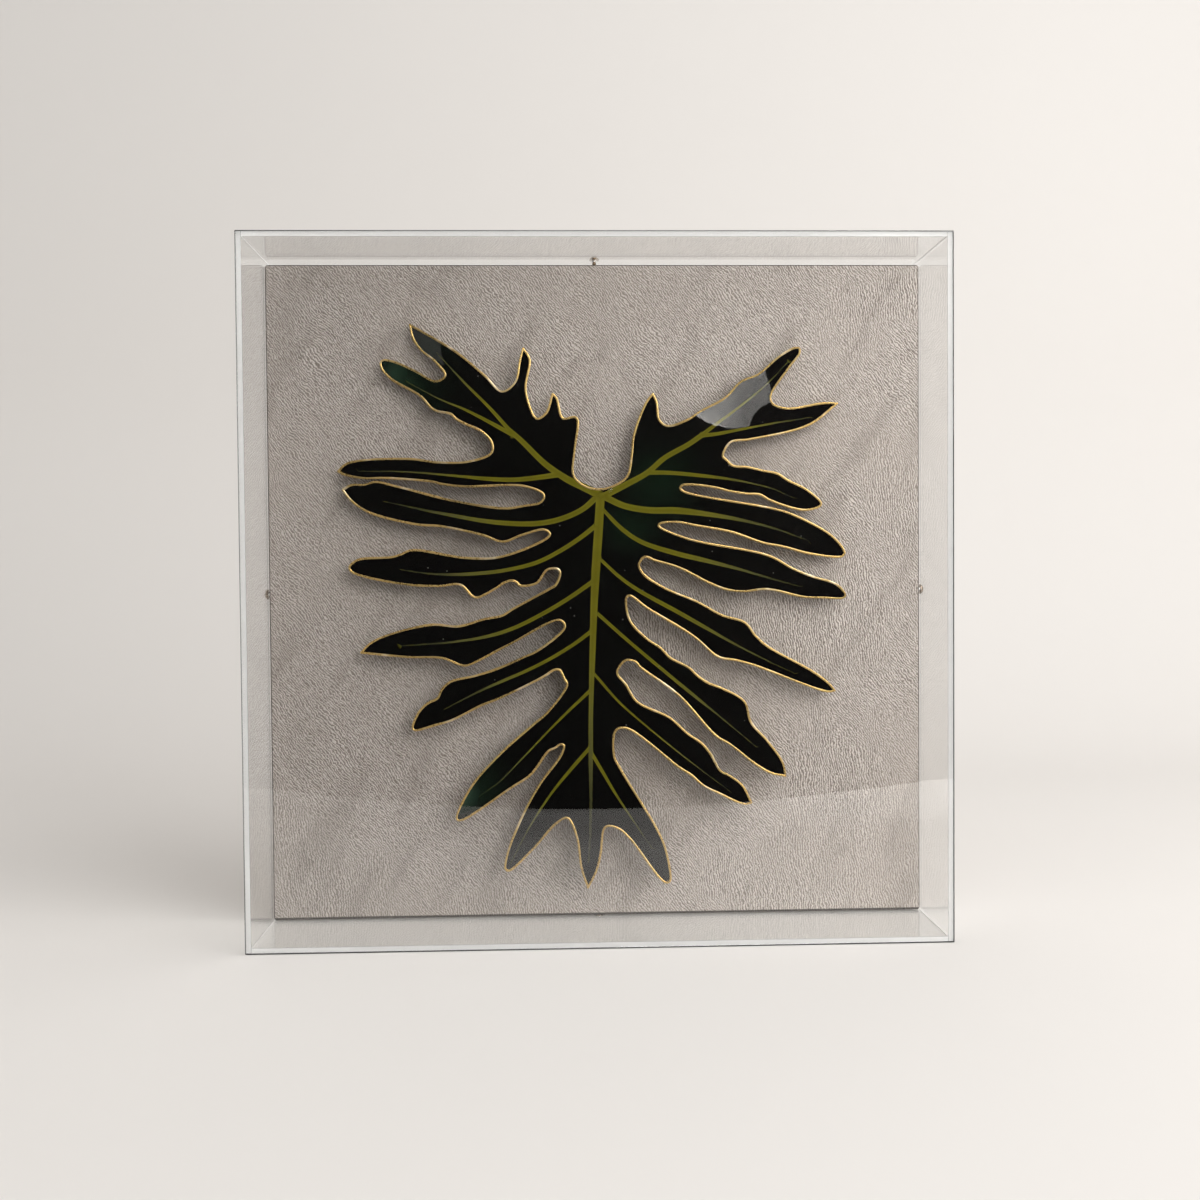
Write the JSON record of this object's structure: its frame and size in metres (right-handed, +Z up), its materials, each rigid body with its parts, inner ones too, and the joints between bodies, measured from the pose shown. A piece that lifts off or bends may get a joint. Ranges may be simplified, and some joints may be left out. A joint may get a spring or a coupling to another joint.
{
  "type": "pressed leaf display frame",
  "caption": "Square clear box frame that stands on its base and shows a dried, glossy lobed leaf with a gilt edge against a grained taupe panel.",
  "frame": {"origin": "middle of the rectangle that bounds the frame, at the level of the face it stands on", "axes": "+Z up, +X to the right when the leaf is looked at, the clear front faces -Y"},
  "size_m": [0.4048, 0.075, 0.4044],
  "materials": {
    "clear_acrylic": "polished clear acrylic",
    "fibreboard": "bare fibreboard",
    "grained_cover": "fine embossed grain, matt",
    "glossy_leaf": "mirror-gloss dark coat with olive veins",
    "gilt": "satin gilt",
    "dark_post": "matt",
    "bronze_screw": "aged bronze"
  },
  "bodies": {
    "root": {"front_sheet": "clear_acrylic", "left_sheet": "clear_acrylic", "right_sheet": "clear_acrylic", "bottom_sheet": "clear_acrylic", "top_sheet": "clear_acrylic", "backing_board": "fibreboard", "board_cover": "grained_cover", "leaf": "glossy_leaf", "gold_rim": "gilt", "leaf_post_1": "dark_post", "leaf_post_2": "dark_post", "leaf_post_3": "dark_post", "leaf_post_4": "dark_post", "leaf_post_5": "dark_post", "screw_top": "bronze_screw", "screw_left": "bronze_screw", "screw_right": "bronze_screw", "screw_bottom": "bronze_screw"}
  },
  "joints": []
}
